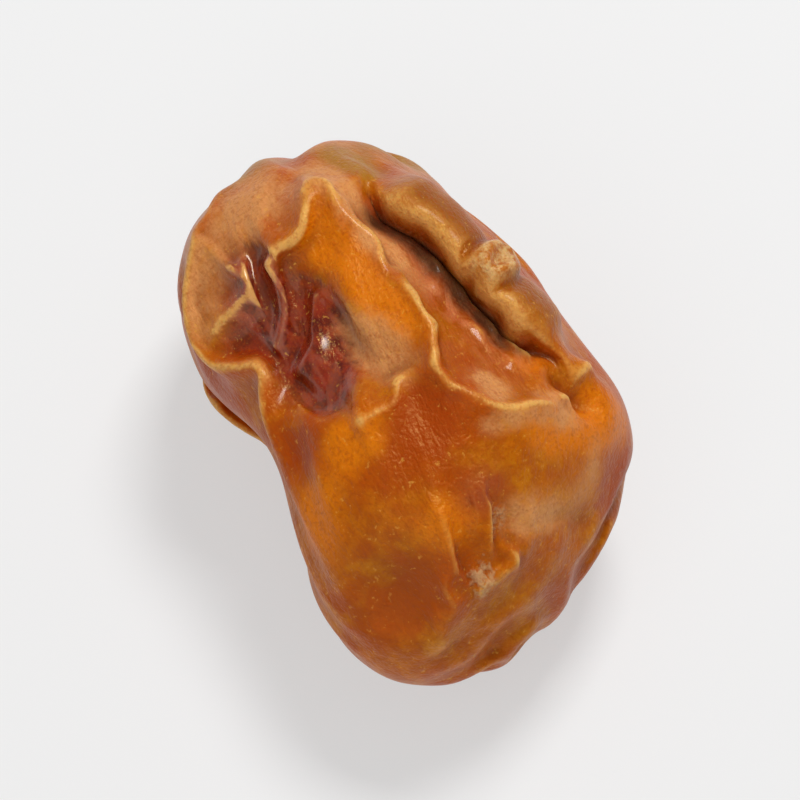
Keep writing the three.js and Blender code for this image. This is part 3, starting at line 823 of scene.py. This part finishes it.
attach(calyx, "root")

# ---- torn fibres --------------------------------------------------------------------------------
# Ends of the strand's woody fibres, left standing on the open side of the cup where the fruit was
# pulled off it. Each is a thin taper rooted in the cup, and they splay at random.
fibre_group = bpy.data.node_groups.new("torn_fibres", "GeometryNodeTree")
tuft = Nodes(fibre_group)
fibre_group.interface.new_socket("Geometry", in_out="INPUT", socket_type="NodeSocketGeometry")
fibre_group.interface.new_socket("Geometry", in_out="OUTPUT", socket_type="NodeSocketGeometry")
FIBRE_SIDES, FIBRE_TIP, FIBRE_SEED = 6, 0.25, 11
# Fibres to a square metre of torn surface, their sizes in metres, and how far they lean in radians.
FIBRE_SIZES = {"Density": 7e6, "Length": 0.7 * MM, "Thickness": 0.055 * MM, "Splay": 1.1}
fibre_sockets = {
    name: fibre_group.interface.new_socket(name, in_out="INPUT", socket_type="NodeSocketFloat")
    for name in FIBRE_SIZES}
seed_socket = fibre_group.interface.new_socket("Seed", in_out="INPUT", socket_type="NodeSocketInt")
given = tuft.node("NodeGroupInput")


def chance(low, high, offset):
    """A steady random number between low and high for each fibre, another for each offset."""
    return tuft.node("FunctionNodeRandomValue", {"data_type": "FLOAT"}, Min=low, Max=high,
                     Seed=given["Seed"] + float(offset))["Value"]


torn_face = tuft.node("GeometryNodeInputNamedAttribute", {"data_type": "FLOAT"}, Name="open")["Attribute"]
spots = tuft.node("GeometryNodeDistributePointsOnFaces", None, Mesh=given["Geometry"],
                  Density=given["Density"] * torn_face, Seed=given["Seed"])
lean = tuft.node("ShaderNodeCombineXYZ", None, given["Splay"] * chance(-1.0, 1.0, 1),
                 given["Splay"] * chance(-1.0, 1.0, 2), 0.0)["Vector"]
splayed = tuft.node("FunctionNodeRotateRotation", {"rotation_space": "LOCAL"}, spots["Rotation"], lean)
taper = tuft.node("GeometryNodeMeshCone", None, Vertices=FIBRE_SIDES, Depth=given["Length"],
                  Radius_Top=given["Thickness"] * FIBRE_TIP, Radius_Bottom=given["Thickness"])["Mesh"]
standing = tuft.node("GeometryNodeInstanceOnPoints", None, Points=spots["Points"], Instance=taper,
                     Rotation=splayed["Rotation"], Scale=chance(0.5, 1.3, 3))["Instances"]
real = tuft.node("GeometryNodeRealizeInstances", None, Geometry=standing)["Geometry"]
woody = tuft.node("GeometryNodeSetMaterial", None, Geometry=real, Material=wood.holder)["Geometry"]
tuft.node("NodeGroupOutput", None, woody)

fibres = bpy.data.objects.new("calyx_fibres", calyx.data.copy())
bpy.context.scene.collection.objects.link(fibres)
maker = fibres.modifiers.new("fibres", "NODES")
maker.node_group = fibre_group
for name, size in FIBRE_SIZES.items():
    maker[fibre_sockets[name].identifier] = size
maker[seed_socket.identifier] = FIBRE_SEED
fibres.data = bpy.data.meshes.new_from_object(fibres.evaluated_get(bpy.context.evaluated_depsgraph_get()))
fibres.modifiers.remove(maker)
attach(fibres, "root")

# ---- floor --------------------------------------------------------------------------------------
# A plain white sweep with its edge turned up all round. It is brightened for what looks at it, more
# so far from the lamps, and keeps only the soft shadow.
FLOOR_RADIUS, BEND_RADIUS = 1300, 300
BEND_STEPS, FLOOR_SIDES = 12, 96
NEAR_GLOW, FAR_GLOW = 0.5, 0.8
bend = np.linspace(0, math.pi / 2, BEND_STEPS + 1)[:, None]
bearing = np.linspace(0, 2 * math.pi, FLOOR_SIDES, endpoint=False)
sweep_radius, sweep_height = FLOOR_RADIUS + BEND_RADIUS * np.sin(bend), BEND_RADIUS * (1 - np.cos(bend))
sweep = np.stack([sweep_radius * np.cos(bearing), sweep_radius * np.sin(bearing),
                  sweep_height + 0 * bearing], -1)
slopes = ring_quads(len(bend), FLOOR_SIDES)[:, ::-1]
floor = mesh_object("floor", sweep.reshape(-1, 3), [list(range(FLOOR_SIDES)), *slopes.tolist()])
floor_finish = Finish(bpy.data.materials.new("white_floor"))
rays = floor_finish.node("ShaderNodeLightPath")
seen = (rays["Is Camera Ray"] + rays["Is Glossy Ray"] + rays["Is Transmission Ray"]).clamped()
matte = floor_finish.node("ShaderNodeBsdfDiffuse", None, Color=(0.8, 0.8, 0.8, 1))
glow = floor_finish.node("ShaderNodeEmission", None, Color=(1, 1, 1, 1), Strength=1.0)
away = floor_finish.node("ShaderNodeVectorMath", {"operation": "LENGTH"}, floor_finish.place())["Value"]
share = seen * (NEAR_GLOW + (FAR_GLOW - NEAR_GLOW) * floor_finish.between(0.06, 0.6, away))
mixed = floor_finish.node("ShaderNodeMixShader", None, share, matte["BSDF"], glow["Emission"])
floor_finish.node("ShaderNodeOutputMaterial", None, Surface=mixed["Shader"])
floor.data.materials.append(floor_finish.holder)

# ---- light --------------------------------------------------------------------------------------
# One soft lamp above and behind, a larger weak one in front, and an even white surround. Both lamps
# point at the middle of the fruit, and their places and sizes are in metres.
LIGHT_AIM = Vector((AXIS_MIDDLE * MM).tolist())


def soft_lamp(name, place, size, power):
    lamp = bpy.data.lights.new(name, "AREA")
    lamp.size, lamp.energy = size, power
    holder = bpy.data.objects.new(name, lamp)
    bpy.context.scene.collection.objects.link(holder)
    holder.location = place
    holder.rotation_euler = (Vector(place) - LIGHT_AIM).to_track_quat("Z", "Y").to_euler()


soft_lamp("key", place=(-0.10, 0.10, 0.30), size=0.10, power=0.70)
soft_lamp("fill", place=(0.18, -0.16, 0.20), size=0.30, power=0.22)
surround = Finish(bpy.data.worlds.new("surround"))
even = surround.node("ShaderNodeBackground", None, Color=(1, 1, 1, 1), Strength=0.26)
surround.node("ShaderNodeOutputWorld", None, Surface=even["Background"])
bpy.context.scene.world = surround.holder

# ---- camera -------------------------------------------------------------------------------------
# A long lens that looks steeply down on the side with the pit and the furrow, with the stem end at
# the upper left.
AZIMUTH, ELEVATION = math.radians(68.5), math.radians(62)
CAMERA_AIM = Vector(AXIS_MIDDLE + (0.4, 0, 0.6)) * MM
CAMERA_DISTANCE, CAMERA_LENS = 0.36, 250
toward_camera = Vector((math.sin(AZIMUTH) * math.cos(ELEVATION),
                        -math.cos(AZIMUTH) * math.cos(ELEVATION), math.sin(ELEVATION)))
camera = bpy.data.objects.new("camera", bpy.data.cameras.new("camera"))
bpy.context.scene.collection.objects.link(camera)
camera.data.lens = CAMERA_LENS
camera.location = CAMERA_AIM + toward_camera * CAMERA_DISTANCE
camera.rotation_euler = toward_camera.to_track_quat("Z", "Y").to_euler()
bpy.context.scene.camera = camera
bpy.context.scene.view_settings.view_transform = "Standard"
